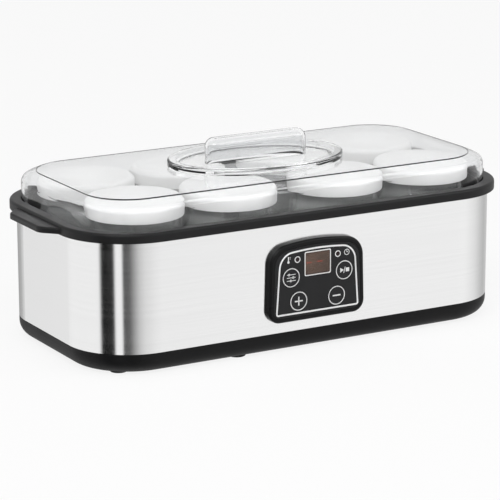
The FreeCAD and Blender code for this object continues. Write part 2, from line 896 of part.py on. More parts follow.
def make_cap(number, x, y):
    body = new_body("jar_cap_%d" % number)
    inside = cap_radius - s.cap_wall
    underside = s.cap_height - s.cap_roof
    turned = revolve(body, [
        (0, s.cap_height),
        (cap_radius, s.cap_height),
        (cap_radius, 0),
        (inside, 0),
        (inside, underside),
        (0, underside),
    ])
    round_edges(body, turned, s.cap_round, at_height(s.cap_height))
    keep(place(body, x, y, cap_bottom), "jar_cap_%d" % number)


def make_jars():
    places = [(x, y) for y in (-row_y, row_y) for x in (-far_x, -near_x, near_x, far_x)]
    for number, (x, y) in enumerate(places, start=1):
        make_jar(number, x, y)
        make_cap(number, x, y)


# Heater: a plate under the tub's floor, a resistance cord in runs and a shield below it

def make_heater_plate():
    body = new_body("heater_plate")
    plan = new_sketch(body, "XY", plate_bottom)
    draw_rectangle(plan, 2 * plate_half_x, 2 * plate_half_y, s.plate_corner)
    pad(body, plan, s.plate_thickness)
    keep(body, "heater_plate")


def make_heating_cord():
    """Runs along X joined by half turns; both ends come out past the plate at +X."""
    body = new_body("heating_cord")
    path = new_sketch(body, "XY", cord_height)
    bend = run_pitch / 2
    side = 1
    last = -1
    for run in range(CORD_RUNS):
        y = run_pitch * run - run_side
        start_x = cord_end if run == 0 else run_reach * side
        end_x = cord_end if run == CORD_RUNS - 1 else run_reach * -side
        start = Vector(start_x.value, y.value, 0)
        line = draw_line(path, start, Vector(end_x.value, y.value, 0))
        pin(path, line, 1, start_x, y)
        pin(path, line, 2, end_x, y)
        if last >= 0:
            path.addConstraint(Sketcher.Constraint("Coincident", last, arc_end, line, 1))
        if run < CORD_RUNS - 1:
            centre = Vector(end_x.value, y.value + bend.value, 0)
            circle = Part.Circle(centre, Vector(0, 0, 1), bend.value)
            turn = (90, 270) if side > 0 else (-90, 90)
            half = Part.ArcOfCircle(circle, math.radians(turn[0]), math.radians(turn[1]))
            last = path.addGeometry(half)
            arc_start, arc_end = (2, 1) if side > 0 else (1, 2)
            path.addConstraint(Sketcher.Constraint("Tangent", line, 2, last, arc_start))
        side = -side
    profile = new_sketch(body, "YZ", cord_end)
    draw_circle(profile, -run_side, cord_height, s.cord_diameter)
    pipe(body, path, profile)
    keep(body, "heating_cord")


def make_heat_shield():
    body = new_body("heat_shield")
    plan = new_sketch(body, "XY", shield_bottom)
    draw_rectangle(plan, 2 * plate_half_x, 2 * plate_half_y, s.plate_corner)
    pad(body, plan, s.shield_thickness)
    ears = new_sketch(body, "XY", shield_bottom)
    ear_reach = 2 * (ear_y + s.shield_ear)
    ear_width = 2 * s.shield_ear
    for x in (-s.shield_boss_x, s.shield_boss_x):
        draw_rectangle(ears, ear_width, ear_reach, s.shield_ear * 0.9, x, 0)
    pad(body, ears, s.shield_thickness)
    holes = new_sketch(body, "XY", shield_top)
    draw_circles(holes, shield_places, s.panel_screw_shank + 2 * s.screw_gap)
    pocket(body, holes, s.shield_thickness)
    keep(body, "heat_shield")


def make_screws(name, places, axis, head_at, shank_at, head, head_depth, shank, length):
    """Set of screws along one axis, its heads and shanks starting at given distances along it."""
    screws = []
    for number, (a, b) in enumerate(places, start=1):
        label = "%s_%d" % (name, number)
        head_start = (a, head_at, b) if axis == "y" else (a, b, head_at)
        shank_start = (a, shank_at, b) if axis == "y" else (a, b, shank_at)
        screws.append(fuse(label, [
            cylinder(label + "_head", head_start, axis, head, head_depth),
            cylinder(label + "_shank", shank_start, axis, shank, length),
        ]))
    keep(group(name, screws), name)


def make_all_screws():
    head_top = base_bottom + s.screw_sink + s.screw_head_depth
    make_screws(
        "base_screws", pillars, "z", base_bottom + s.screw_sink, head_top,
        s.screw_head, s.screw_head_depth, s.screw_shank, s.screw_length,
    )
    make_screws(
        "board_screws", board_posts, "z", board_top, board_top - s.board_screw_length,
        s.screw_head, s.screw_head_depth, s.screw_shank, s.board_screw_length,
    )
    make_screws(
        "shield_screws", shield_places, "z", shield_bottom - s.panel_screw_head_depth, shield_bottom,
        s.panel_screw_head, s.panel_screw_head_depth, s.panel_screw_shank,
        s.shield_thickness + s.panel_screw_bite,
    )
    panel_length = s.control_board_thickness + s.panel_screw_bite
    make_screws(
        "control_board_screws", panel_screws, "y", control_back, control_back - panel_length,
        s.panel_screw_head, s.panel_screw_head_depth, s.panel_screw_shank, panel_length,
    )


def make_heater_fittings():
    """Thermal fuse, temperature sensor and the two leads down to the terminal blocks."""
    fuse_start = (-s.fuse_length / 2, 0, cord_height)
    keep(cylinder("thermal_fuse", fuse_start, "x", s.fuse_diameter, s.fuse_length), "thermal_fuse")
    sensor_start = (s.sensor_x, run_pitch, cord_height)
    sensor = cylinder("temperature_sensor", sensor_start, "x", s.fuse_diameter, s.sensor_length)
    keep(sensor, "temperature_sensor")
    leads = []
    bend_bottom = cord_height - s.lead_bend
    lead_bottom = board_top + s.terminal_height
    for number, y in enumerate((-run_side, run_side), start=1):
        body = new_body("heater_lead_%d" % number)
        path = new_sketch(body, "XZ", -y)
        centre = Vector(cord_end.value, bend_bottom.value, 0)
        circle = Part.Circle(centre, Vector(0, 0, 1), s.lead_bend.value)
        arc = path.addGeometry(Part.ArcOfCircle(circle, 0, math.pi / 2))
        top = Vector(lead_x.value, bend_bottom.value, 0)
        drop = draw_line(path, top, Vector(lead_x.value, lead_bottom.value, 0))
        path.addConstraint(Sketcher.Constraint("Coincident", arc, 1, drop, 1))
        dimension(path, "Radius", s.lead_bend, arc)
        pin(path, arc, 2, cord_end, cord_height)
        pin(path, drop, 1, lead_x, bend_bottom)
        pin(path, drop, 2, lead_x, lead_bottom)
        profile = new_sketch(body, "YZ", cord_end)
        draw_circle(profile, y, cord_height, s.cord_diameter)
        pipe(body, path, profile)
        leads.append(body)
    keep(group("heater_leads", leads), "heater_leads")


# Power board in the bay under the tub

def make_power_board():
    low = (s.board_left, -board_half, board_bottom)
    plate = box("power_board_plate", low, (board_right, board_half, board_top))
    holes = []
    for number, (x, y) in enumerate(board_posts, start=1):
        start = (x, y, board_bottom - s.board_thickness)
        name = "power_board_hole_%d" % number
        holes.append(cylinder(name, start, "z", s.screw_shank + 2 * s.screw_gap, 3 * s.board_thickness))
    keep(cut("power_board", plate, group("power_board_holes", holes)), "power_board")
    middle = (s.board_left + board_right) / 2
    core_left = middle + s.transformer_length / 3
    half_core = s.transformer_width / 2
    core_right = core_left + s.transformer_length
    core_top = board_top + s.transformer_height
    core = box("transformer_core", (core_left, -half_core, board_top), (core_right, half_core, core_top))
    bobbin_left = core_left + (s.transformer_length - s.bobbin_length) / 2
    bobbin_half = half_core + s.bobbin_overhang
    bobbin_low = board_top + s.transformer_height / 5
    bobbin_high = core_top - s.transformer_height / 5
    bobbin = box(
        "transformer_bobbin",
        (bobbin_left, -bobbin_half, bobbin_low),
        (bobbin_left + s.bobbin_length, bobbin_half, bobbin_high),
    )
    keep(fuse("transformer", [core, bobbin]), "transformer")
    relay_right = core_left - s.relay_length / 2
    relay_low = (relay_right - s.relay_length, 0, board_top)
    relay_high = (relay_right, s.relay_width, board_top + s.relay_height)
    keep(box("relay", relay_low, relay_high), "relay")
    can_start = (relay_right - s.relay_length / 2, -s.capacitor_diameter, board_top)
    can = cylinder("filter_capacitor", can_start, "z", s.capacitor_diameter, s.capacitor_height)
    keep(can, "filter_capacitor")
    blocks = []
    for number, y in enumerate((-run_side, run_side), start=1):
        low = (lead_x - half_terminal, y - half_terminal, board_top)
        high = (lead_x + half_terminal, y + half_terminal, board_top + s.terminal_height)
        blocks.append(box("terminal_block_%d" % number, low, high))
    keep(group("terminal_blocks", blocks), "terminal_blocks")


# Control panel

def arched_plate(name, inset, front, depth, front_round=None):
    """Plate with the panel's arched outline, its front face at one Y and its corners rounded."""
    body = new_body(name)
    outline = new_sketch(body, "XZ", -front)
    draw_panel(outline, inset)
    plate = pad(body, outline, depth, reverse=True)
    middle = (panel_bottom + panel_side / 2).value

    def upright(edge):
        box = edge.BoundBox
        return box.XLength < 1e-4 and box.ZLength < 1e-4

    def low_corner(edge):
        return upright(edge) and edge.BoundBox.ZMax < middle

    def high_corner(edge):
        return upright(edge) and edge.BoundBox.ZMin > middle

    def on_front(edge):
        box = edge.BoundBox
        return abs(box.YMin - front.value) < 1e-4 and abs(box.YMax - front.value) < 1e-4
    lower = round_edges(body, plate, s.panel_low_corner - inset, low_corner)
    shaped = round_edges(body, lower, s.panel_high_corner - inset, high_corner)
    if front_round:
        round_edges(body, shaped, front_round, on_front)
    return body


def panel_holes(name, front, depth, window_inset):
    """Tools for the holes that the keys, the lamps and the display look out of."""
    tools = []
    for key, (x, z) in keys.items():
        hole = s.key_diameter + 2 * s.key_gap
        tools.append(cylinder("%s_%s" % (name, key), (x, front, z), "y", hole, depth))
    for number, (x, z) in enumerate(lamps, start=1):
        hole = s.lamp_diameter + 2 * s.lamp_gap
        tools.append(cylinder("%s_lamp_%d" % (name, number), (x, front, z), "y", hole, depth))
    half_x = s.window_width / 2 - window_inset
    half_z = s.window_height / 2 - window_inset
    low = (-half_x, front, window_z - half_z)
    high = (half_x, front + depth, window_z + half_z)
    tools.append(box(name + "_window", low, high))
    return tools


def well_block(name, inset, front, back):
    """Rounded box behind the panel's face, seen through the cut-out in the steel."""
    body = new_body(name)
    outline = new_sketch(body, "XZ", -front)
    size_x = well_width - 2 * inset
    size_z = well_height - 2 * inset
    draw_rectangle(outline, size_x, size_z, s.well_corner - inset, 0, well_middle)
    pad(body, outline, back - front, reverse=True)
    return body


def make_panel_bezel():
    none = as_size(0)
    blank = arched_plate("bezel_blank", none, panel_front, s.panel_proud, s.panel_round)
    back = well_block("bezel_well", none, wall_front, control_back)
    shell = fuse("bezel_shell", [blank, back])
    recess_inset = s.overlay_inset - s.overlay_gap
    recess_front = panel_front - s.sheet
    recess = arched_plate("bezel_recess", recess_inset, recess_front, overlay_back - recess_front)
    cavity = well_block("bezel_cavity", s.well_wall, face_back, control_back + s.sheet)
    holes = panel_holes("bezel_hole", panel_front, face_back - panel_front + s.sheet, s.window_ledge)
    hollow = cut("bezel_hollow", shell, group("bezel_tools", [recess, cavity] + holes))
    bosses = []
    pilots = []
    for number, (x, z) in enumerate(panel_screws, start=1):
        start = (x, face_back - s.face_thickness / 2, z)
        length = control_front - face_back + s.face_thickness / 2
        bosses.append(cylinder("bezel_boss_%d" % number, start, "y", s.panel_boss, length))
        bite = s.panel_screw_bite + s.screw_gap
        pilot_at = (x, control_front - bite, z)
        size = s.panel_screw_shank + 2 * s.screw_gap
        pilots.append(cylinder("bezel_pilot_%d" % number, pilot_at, "y", size, bite))
    bossed = fuse("bezel_bossed", [hollow] + bosses)
    keep(cut("panel_bezel", bossed, group("bezel_pilots", pilots)), "panel_bezel")


def make_panel_face():
    blank = arched_plate("overlay_blank", s.overlay_inset, overlay_front, s.overlay_thickness)
    holes = panel_holes("overlay_hole", overlay_front, s.overlay_thickness, -s.lamp_gap)
    keep(cut("panel_overlay", blank, group("overlay_tools", holes)), "panel_overlay")
    half_x = s.window_width / 2
    half_z = s.window_height / 2
    low = (-half_x, overlay_front, window_z - half_z)
    high = (half_x, overlay_back, window_z + half_z)
    keep(box("display_window", low, high), "display_window")
    lens_length = control_front - s.led_height - s.lamp_gap - overlay_front
    lenses = [
        cylinder("indicator_lens_%d" % number, (x, overlay_front, z), "y", s.lamp_diameter, lens_length)
        for number, (x, z) in enumerate(lamps, start=1)
    ]
    keep(group("indicator_lenses", lenses), "indicator_lenses")
    for name, (x, z) in keys.items():
        key_front = overlay_front - s.key_proud
        cap = cylinder(name + "_cap", (x, key_front, z), "y", s.key_diameter, key_back - key_front)
        flange_size = s.key_diameter + 2 * s.key_flange
        flange = cylinder(name + "_flange", (x, flange_front, z), "y", flange_size, s.key_flange_thickness)
        keep(fuse(name, [cap, flange]), name)


def make_control_board():
    inset = s.well_wall + s.control_board_gap
    plate = well_block("control_board_plate", inset, control_front, control_back)
    holes = []
    for number, (x, z) in enumerate(panel_screws, start=1):
        size = s.panel_screw_shank + 2 * s.screw_gap
        name = "control_board_hole_%d" % number
        holes.append(cylinder(name, (x, control_front, z), "y", size, s.control_board_thickness))
    keep(cut("control_board", plate, group("control_board_holes", holes)), "control_board")
    half = s.switch_size / 2
    base_front = switch_front + s.plunger_height
    switches = []
    for name, (x, z) in keys.items():
        low = (x - half, base_front, z - half)
        high = (x + half, control_front, z + half)
        base = box(name + "_switch_base", low, high)
        plunger = cylinder(name + "_plunger", (x, switch_front, z), "y", s.plunger_diameter, s.switch_height)
        switches.append(fuse(name + "_switch", [base, plunger]))
    keep(group("tact_switches", switches), "tact_switches")
    leds = []
    for number, (x, z) in enumerate(lamps, start=1):
        start = (x, control_front - s.led_height, z)
        leds.append(cylinder("indicator_led_%d" % number, start, "y", s.lamp_diameter, s.led_height))
    keep(group("indicator_leds", leds), "indicator_leds")
    half_x = s.window_width / 2 - s.window_ledge - s.slip_gap
    half_z = s.window_height / 2 - s.window_ledge - s.slip_gap
    low = (-half_x, overlay_back + s.slip_gap, window_z - half_z)
    high = (half_x, control_front, window_z + half_z)
    keep(box("led_display", low, high), "led_display")


# Ribbon from the control board's back, down the wall and along to the power board

def make_ribbon():
    right = s.ribbon_left + s.ribbon_width
    middle = s.ribbon_thickness / 2
    upstand_face = s.sheet + s.slip_gap + s.upstand_wall - half_width
    run_y = upstand_face + s.ribbon_gap + middle
    socket_back = run_y + middle + s.socket_wall
    run_z = board_top + s.ribbon_rise
    board_edge = -board_half
    socket_bottom = well_bottom + s.well_wall + s.control_board_gap
    body = new_body("ribbon_cable")
    outline = new_sketch(body, "YZ", s.ribbon_left)
    draw_polygon(outline, [
        (run_y - middle, socket_bottom),
        (run_y - middle, run_z - middle),
        (board_edge, run_z - middle),
        (board_edge, run_z + middle),
        (run_y + middle, run_z + middle),
        (run_y + middle, socket_bottom),
    ])
    strip = pad(body, outline, s.ribbon_width)

    def corner_at(y, z):
        def test(edge):
            box = edge.BoundBox
            level = abs(box.ZMin - z.value) < 1e-4 and abs(box.ZMax - z.value) < 1e-4
            return level and abs(box.YMin - y.value) < 1e-4 and abs(box.YMax - y.value) < 1e-4
        return test
    inner = round_edges(body, strip, s.ribbon_bend, corner_at(run_y + middle, run_z + middle))
    outer_bend = s.ribbon_bend + s.ribbon_thickness
    round_edges(body, inner, outer_bend, corner_at(run_y - middle, run_z - middle))
    keep(body, "ribbon_cable")
    left = s.ribbon_left - s.socket_overhang
    far = right + s.socket_overhang
    control = box(
        "control_socket",
        (left, control_back, socket_bottom),
        (far, socket_back, socket_bottom + s.socket_height),
    )
    power = box(
        "power_socket",
        (left, board_edge, board_top),
        (far, board_edge + s.socket_height, run_z + s.power_socket_rise),
    )
    keep(group("ribbon_sockets", [control, power]), "ribbon_sockets")


# Bush in the rear wall, turned about Y

def make_cord_inlet():
    body = new_body("cord_inlet")
    bore = s.inlet_bore / 2
    barrel = s.inlet_barrel / 2
    lip_end = -(s.sheet + s.slip_gap)
    lip_start = lip_end - s.inlet_lip_length
    revolve(body, [
        (bore, -s.inlet_depth),
        (barrel, -s.inlet_depth),
        (barrel, lip_start),
        (s.inlet_lip / 2, lip_end),
        (barrel, lip_end),
        (barrel, 0),
        (s.inlet_flange / 2, 0),
        (s.inlet_flange / 2, s.inlet_flange_thickness / 2),
        (bore + s.inlet_flange_thickness / 2, s.inlet_flange_thickness),
        (bore, s.inlet_flange_thickness),
    ])
    place(body, s.inlet_x, half_width, inlet_z, rotation=ALONG["y"])
    keep(body, "cord_inlet")


make_lid()
make_rim_frame()
make_steel_band()
make_base_tray()
make_inner_tub()
make_feet()
make_jars()
make_heater_plate()
make_heating_cord()
make_heat_shield()
make_heater_fittings()
make_power_board()
make_panel_bezel()
make_panel_face()
make_control_board()
make_ribbon()
make_cord_inlet()
make_all_screws()
doc.recompute()

# Check every object, then write one file for each sub-part

failed = [item.Name for item in doc.Objects if "Invalid" in item.State or "Error" in item.State]
for item in sub_parts:
    shape = item.Shape
    if shape.isNull() or not shape.isValid() or not shape.Solids:
        failed.append(item.Label)
if failed:
    raise RuntimeError("failed: " + ", ".join(failed))
os.makedirs("parts", exist_ok=True)
for item in sub_parts:
    item.Shape.exportStep("parts/%s.step" % item.Label)
    print("%-22s %d solids %10.1f mm3" % (item.Label, len(item.Shape.Solids), item.Shape.Volume))
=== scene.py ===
import json
import math

import bmesh
import bpy
from mathutils import Matrix, Vector


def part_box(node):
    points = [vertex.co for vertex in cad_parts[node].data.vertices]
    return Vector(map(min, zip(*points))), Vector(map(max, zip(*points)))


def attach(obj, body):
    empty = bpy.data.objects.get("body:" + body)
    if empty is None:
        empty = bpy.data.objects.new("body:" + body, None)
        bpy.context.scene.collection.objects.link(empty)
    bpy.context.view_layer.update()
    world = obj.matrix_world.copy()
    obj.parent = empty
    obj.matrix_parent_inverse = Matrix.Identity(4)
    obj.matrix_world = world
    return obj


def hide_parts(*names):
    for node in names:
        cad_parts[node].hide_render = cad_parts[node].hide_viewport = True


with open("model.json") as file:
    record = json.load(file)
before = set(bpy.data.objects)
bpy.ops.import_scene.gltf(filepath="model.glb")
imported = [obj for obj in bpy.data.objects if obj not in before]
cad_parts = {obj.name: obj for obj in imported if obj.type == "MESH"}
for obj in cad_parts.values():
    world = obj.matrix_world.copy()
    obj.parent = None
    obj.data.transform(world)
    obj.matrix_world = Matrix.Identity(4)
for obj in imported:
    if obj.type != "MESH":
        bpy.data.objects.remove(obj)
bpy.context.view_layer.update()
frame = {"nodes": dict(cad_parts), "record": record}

# Yogurt maker: steel wall, black rim and base, clear lid and two rows of capped jars.
# Shapes are drawn in millimetres in the frame of the solids and scaled to metres at the end.

MM = 0.001
BODY_OF = {
    node: body
    for body, nodes in frame["record"]["behaviour"]["bodies"].items()
    for node in nodes
}

PRINT_DEPTH = 0.08
KEY_NAMES = ("function_key", "start_key", "plus_key", "minus_key")
FEET = [node for node in frame["nodes"] if node.startswith("foot_")]
JARS = ["jar_%d" % number for number in range(1, 9)]
CAPS = ["jar_cap_%d" % number for number in range(1, 9)]


def middle_of(node):
    """Middle of a solid at rest, in millimetres."""
    low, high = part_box(node)
    return [(a + b) / 2 / MM for a, b in zip(low, high)]


def lowest(node, axis):
    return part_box(node)[0][axis] / MM


def highest(node, axis):
    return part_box(node)[1][axis] / MM


# Node materials

def new_material(name, colour, roughness, metallic=0.0):
    material = bpy.data.materials.new(name)
    material.use_nodes = True
    shader = material.node_tree.nodes["Principled BSDF"]
    shader.inputs["Base Color"].default_value = (*colour, 1.0)
    shader.inputs["Roughness"].default_value = roughness
    shader.inputs["Metallic"].default_value = metallic
    return material, shader


def add_node(material, kind, **settings):
    node = material.node_tree.nodes.new(kind)
    for name, value in settings.items():
        setattr(node, name, value)
    return node


def noise(material, scale, stretch=(1, 1, 1), detail=3.0):
    """Noise over the piece's own coordinates, in features per metre, stretched along chosen axes."""
    links = material.node_tree.links
    coords = add_node(material, "ShaderNodeTexCoord")
    mapping = add_node(material, "ShaderNodeMapping")
    texture = add_node(material, "ShaderNodeTexNoise")
    mapping.inputs["Scale"].default_value = stretch
    texture.inputs["Scale"].default_value = scale
    texture.inputs["Detail"].default_value = detail
    links.new(coords.outputs["Object"], mapping.inputs["Vector"])
    links.new(mapping.outputs["Vector"], texture.inputs["Vector"])
    return texture.outputs["Fac"]


def stripes(material, scale, direction):
    """Fine parallel lines over the piece's own coordinates."""
    links = material.node_tree.links
    coords = add_node(material, "ShaderNodeTexCoord")
    texture = add_node(material, "ShaderNodeTexWave", bands_direction=direction)
    texture.inputs["Scale"].default_value = scale
    links.new(coords.outputs["Object"], texture.inputs["Vector"])
    return texture.outputs["Fac"]


def spread(material, value, low, high, start=0.3, end=0.7):
    """Noise turned into a number between low and high."""
    links = material.node_tree.links
    remap = add_node(material, "ShaderNodeMapRange")
    remap.inputs["From Min"].default_value = start
    remap.inputs["From Max"].default_value = end
    remap.inputs["To Min"].default_value = low
    remap.inputs["To Max"].default_value = high
    links.new(value, remap.inputs["Value"])
    return remap.outputs["Result"]


def tint(material, value, low, high):
    """Noise turned into a colour between low and high."""
    links = material.node_tree.links
    ramp = add_node(material, "ShaderNodeValToRGB")
    ramp.color_ramp.elements[0].position = 0.35
    ramp.color_ramp.elements[0].color = (*low, 1.0)
    ramp.color_ramp.elements[1].position = 0.65
    ramp.color_ramp.elements[1].color = (*high, 1.0)
    links.new(value, ramp.inputs["Fac"])
    return ramp.outputs["Color"]


def bump(material, shader, value, strength, height):
    links = material.node_tree.links
    node = add_node(material, "ShaderNodeBump")
    node.inputs["Strength"].default_value = strength
    node.inputs["Distance"].default_value = height
    links.new(value, node.inputs["Height"])
    links.new(node.outputs["Normal"], shader.inputs["Normal"])


def shade(colour, amount):
    return tuple(min(1.0, channel * amount) for channel in colour)


def moulded(name, colour, roughness, grain=2600.0, depth=0.12, shine=0.5, mottle=0.1):
    """Moulded plastic or rubber: a fine grain, uneven gloss and a slight mottle in the colour."""
    material, shader = new_material(name, colour, roughness)
    links = material.node_tree.links
    shader.inputs["Specular IOR Level"].default_value = shine
    fine = noise(material, grain, detail=2.0)
    broad = noise(material, 45.0)
    patches = tint(material, broad, shade(colour, 1 - mottle), shade(colour, 1 + 0.7 * mottle))
    links.new(patches, shader.inputs["Base Color"])
    links.new(spread(material, broad, roughness * 0.88, roughness * 1.14), shader.inputs["Roughness"])
    bump(material, shader, fine, depth, 0.00004)
    return material


def brushed(name, colour, low, high, stretch, contrast=0.06, relief=0.03, pull=0.0):
    """Metal brushed along one direction: long fine lines in its gloss, colour and relief.
    The pull draws highlights out across the lines, upright on an upright wall."""
    material, shader = new_material(name, colour, low, metallic=1.0)
    links = material.node_tree.links
    lines = noise(material, 1.0, stretch, detail=4.0)
    links.new(tint(material, lines, shade(colour, 1 - contrast), colour), shader.inputs["Base Color"])
    links.new(spread(material, lines, low, high), shader.inputs["Roughness"])
    bump(material, shader, lines, relief, 0.00003)
    if pull:
        tangent = add_node(material, "ShaderNodeTangent", direction_type="RADIAL", axis="Z")
        links.new(tangent.outputs["Tangent"], shader.inputs["Tangent"])
        shader.inputs["Anisotropic"].default_value = pull
        shader.inputs["Anisotropic Rotation"].default_value = 0.25
    return material


def clear(name, colour, ior, low, high, share=1.0):
    """Clear plastic or glass with a faint unevenness in its polish. What the share leaves over is milky."""
    material, shader = new_material(name, colour, low)
    links = material.node_tree.links
    shader.inputs["Transmission Weight"].default_value = share
    shader.inputs["IOR"].default_value = ior
    haze = noise(material, 30.0, detail=2.0)
    links.new(spread(material, haze, low, high), shader.inputs["Roughness"])
    return material


def smoky(name, colour, alpha):
    """Tinted window that lets a little of what is behind it through."""
    material, shader = new_material(name, colour, 0.12)
    links = material.node_tree.links
    cloud = noise(material, 90.0, detail=2.0)
    links.new(tint(material, cloud, shade(colour, 0.8), shade(colour, 1.15)), shader.inputs["Base Color"])
    links.new(spread(material, cloud, 0.08, 0.16), shader.inputs["Roughness"])
    shader.inputs["Alpha"].default_value = alpha
    return material


def lit(name, colour, strength):
    """Small glowing mark, a little uneven across its width."""
    material, shader = new_material(name, colour, 0.4)
    links = material.node_tree.links
    glow = noise(material, 500.0, detail=1.0)
    links.new(tint(material, glow, shade(colour, 0.8), colour), shader.inputs["Base Color"])
    shader.inputs["Emission Color"].default_value = (*colour, 1.0)
    shader.inputs["Emission Strength"].default_value = strength
    return material


def circuit_board(name, colour, track):
    """Lacquered board: paler tracks under the lacquer, in broad right-angled patches."""
    material, shader = new_material(name, colour, 0.3)
    links = material.node_tree.links
    coords = add_node(material, "ShaderNodeTexCoord")
    texture = add_node(material, "ShaderNodeTexBrick", offset=0.5, squash=0.6)
    texture.inputs["Color1"].default_value = (*colour, 1.0)
    texture.inputs["Color2"].default_value = (*shade(colour, 1.25), 1.0)
    texture.inputs["Mortar"].default_value = (*track, 1.0)
    texture.inputs["Scale"].default_value = 90.0
    texture.inputs["Mortar Size"].default_value = 0.05
    links.new(coords.outputs["Object"], texture.inputs["Vector"])
    links.new(texture.outputs["Color"], shader.inputs["Base Color"])
    bump(material, shader, noise(material, 900.0), 0.05, 0.00003)
    return material


def ribbon(name, colour):
    """Flat cable: one line for each wire."""
    material, shader = new_material(name, colour, 0.45)
    links = material.node_tree.links
    wires = stripes(material, 250.0, "X")
    links.new(tint(material, wires, shade(colour, 0.6), colour), shader.inputs["Base Color"])
    bump(material, shader, wires, 0.3, 0.0003)
    return material


STEEL = brushed(
    "brushed_steel", (0.86, 0.86, 0.86), 0.14, 0.19, (4.0, 4.0, 1500.0),
    contrast=0.03, relief=0.012, pull=0.8,
)
RIM_BLACK = moulded("rim_black", (0.010, 0.010, 0.0105), 0.34, shine=0.2)
BASE_BLACK = moulded("base_black", (0.006, 0.006, 0.0064), 0.36, shine=0.14)
TUB_GREY = moulded("tub_grey", (0.010, 0.010, 0.011), 0.36, shine=0.3)
RUBBER = moulded("foot_rubber", (0.018, 0.018, 0.018), 0.62, shine=0.3)
LID_CLEAR = clear("lid_clear", (0.93, 0.934, 0.938), 1.34, 0.0, 0.03)
JAR_GLASS = clear("jar_glass", (0.93, 0.94, 0.935), 1.45, 0.0, 0.02, share=0.88)
CAP_WHITE = moulded("cap_white", (0.85, 0.85, 0.845), 0.36, grain=1500.0, depth=0.05, mottle=0.015)
BEZEL_BLACK = moulded("bezel_black", (0.006, 0.006, 0.0064), 0.30, shine=0.14)
FACE_BLACK = moulded("face_black", (0.014, 0.014, 0.015), 0.34, grain=4000.0, depth=0.04, shine=0.2)
KEY_BLACK = moulded("key_black", (0.015, 0.015, 0.016), 0.36, grain=4000.0, depth=0.05, shine=0.2)
PRINT_WHITE = moulded("print_white", (0.78, 0.78, 0.78), 0.5, grain=5000.0, depth=0.05)
WINDOW_BROWN = smoky("window_brown", (0.115, 0.070, 0.050), 0.72)
DISPLAY_RED = lit("display_red", (0.80, 0.05, 0.02), 3.0)

# Finishes of the solids that show as they are
FINISHES = {
    "lid": LID_CLEAR,
    "rim_frame": RIM_BLACK,
    "steel_band": STEEL,
    "base_tray": BASE_BLACK,
    "inner_tub": TUB_GREY,
    "panel_bezel": BEZEL_BLACK,
    "panel_overlay": FACE_BLACK,
    "display_window": WINDOW_BROWN,
    "indicator_lenses": moulded("lens_smoked", (0.022, 0.012, 0.012), 0.20, shine=0.3),
    "cord_inlet": RUBBER,
    "heater_plate": brushed("sheet_aluminium", (0.76, 0.76, 0.78), 0.30, 0.45, (8.0, 900.0, 8.0)),
    "heat_shield": brushed("shield_aluminium", (0.70, 0.70, 0.72), 0.34, 0.50, (900.0, 8.0, 8.0)),
    "heating_cord": moulded("cord_silicone", (0.42, 0.07, 0.04), 0.55),
    "heater_leads": moulded("lead_silicone", (0.55, 0.54, 0.50), 0.5),
    "thermal_fuse": brushed("fuse_metal", (0.72, 0.70, 0.66), 0.24, 0.36, (700.0, 30.0, 30.0)),
    "temperature_sensor": moulded("sensor_resin", (0.05, 0.028, 0.018), 0.35),
    "power_board": circuit_board("power_board_green", (0.020, 0.11, 0.035), (0.06, 0.22, 0.08)),
    "control_board": circuit_board("control_board_green", (0.018, 0.10, 0.034), (0.05, 0.20, 0.07)),
    "transformer": moulded("transformer_varnish", (0.20, 0.12, 0.045), 0.4, grain=1200.0, depth=0.3),
    "relay": moulded("relay_blue", (0.03, 0.09, 0.30), 0.35),
    "filter_capacitor": moulded("capacitor_sleeve", (0.025, 0.03, 0.06), 0.3),
    "terminal_blocks": moulded("terminal_green", (0.03, 0.20, 0.09), 0.45),
    "tact_switches": moulded("switch_black", (0.02, 0.02, 0.02), 0.4),
    "led_display": moulded("display_block", (0.05, 0.045, 0.045), 0.5),
    "indicator_leds": moulded("led_red", (0.45, 0.03, 0.02), 0.25),
    "ribbon_sockets": moulded("socket_ivory", (0.62, 0.57, 0.44), 0.45),
    "ribbon_cable": ribbon("ribbon_grey", (0.42, 0.42, 0.43)),
}
SCREW_STEEL = brushed("screw_steel", (0.60, 0.60, 0.61), 0.30, 0.42, (900.0, 900.0, 900.0))
for node in ("shield_screws", "board_screws", "control_board_screws", "base_screws"):
    FINISHES[node] = SCREW_STEEL
for node in FEET:
    FINISHES[node] = RUBBER


def paint(node, material):
    solid = frame["nodes"][node]
    solid.data.materials.clear()
    solid.data.materials.append(material)


# Mesh tools

def rounded_loop(bm, length, width, corner, height, steps=6):
    """Loop of edges round a level rectangle with round corners."""
    square = bmesh.ops.create_grid(bm, x_segments=1, y_segments=1, size=0.5)["verts"]
    bmesh.ops.scale(bm, verts=square, vec=(length, width, 1))
    bmesh.ops.translate(bm, verts=square, vec=(0, 0, height))
    bmesh.ops.bevel(
        bm, geom=square, offset=corner, offset_type="OFFSET", segments=steps,
        profile=0.5, affect="VERTICES", material=-1,
    )
    bm.faces.ensure_lookup_table()
    face = bm.faces[-1]
    loop = list(face.edges)
    bmesh.ops.delete(bm, geom=[face], context="FACES_ONLY")
    return loop


def soften(bm, edges, radius, steps=4):
    bmesh.ops.bevel(
        bm, geom=edges, offset=radius, offset_type="OFFSET", segments=steps,
        profile=0.5, affect="EDGES", material=-1, clamp_overlap=True,
    )


def turn(bm, profile, steps=72):
    """Spin a profile of radius and height about Z."""
    verts = [bm.verts.new((radius, 0, height)) for radius, height in profile]
    edges = [bm.edges.new(pair) for pair in zip(verts, verts[1:])]
    bmesh.ops.spin(
        bm, geom=verts + edges, axis=(0, 0, 1), cent=(0, 0, 0),
        angle=2 * math.pi, steps=steps, use_merge=True,
    )
    bmesh.ops.remove_doubles(bm, verts=bm.verts, dist=1e-4)


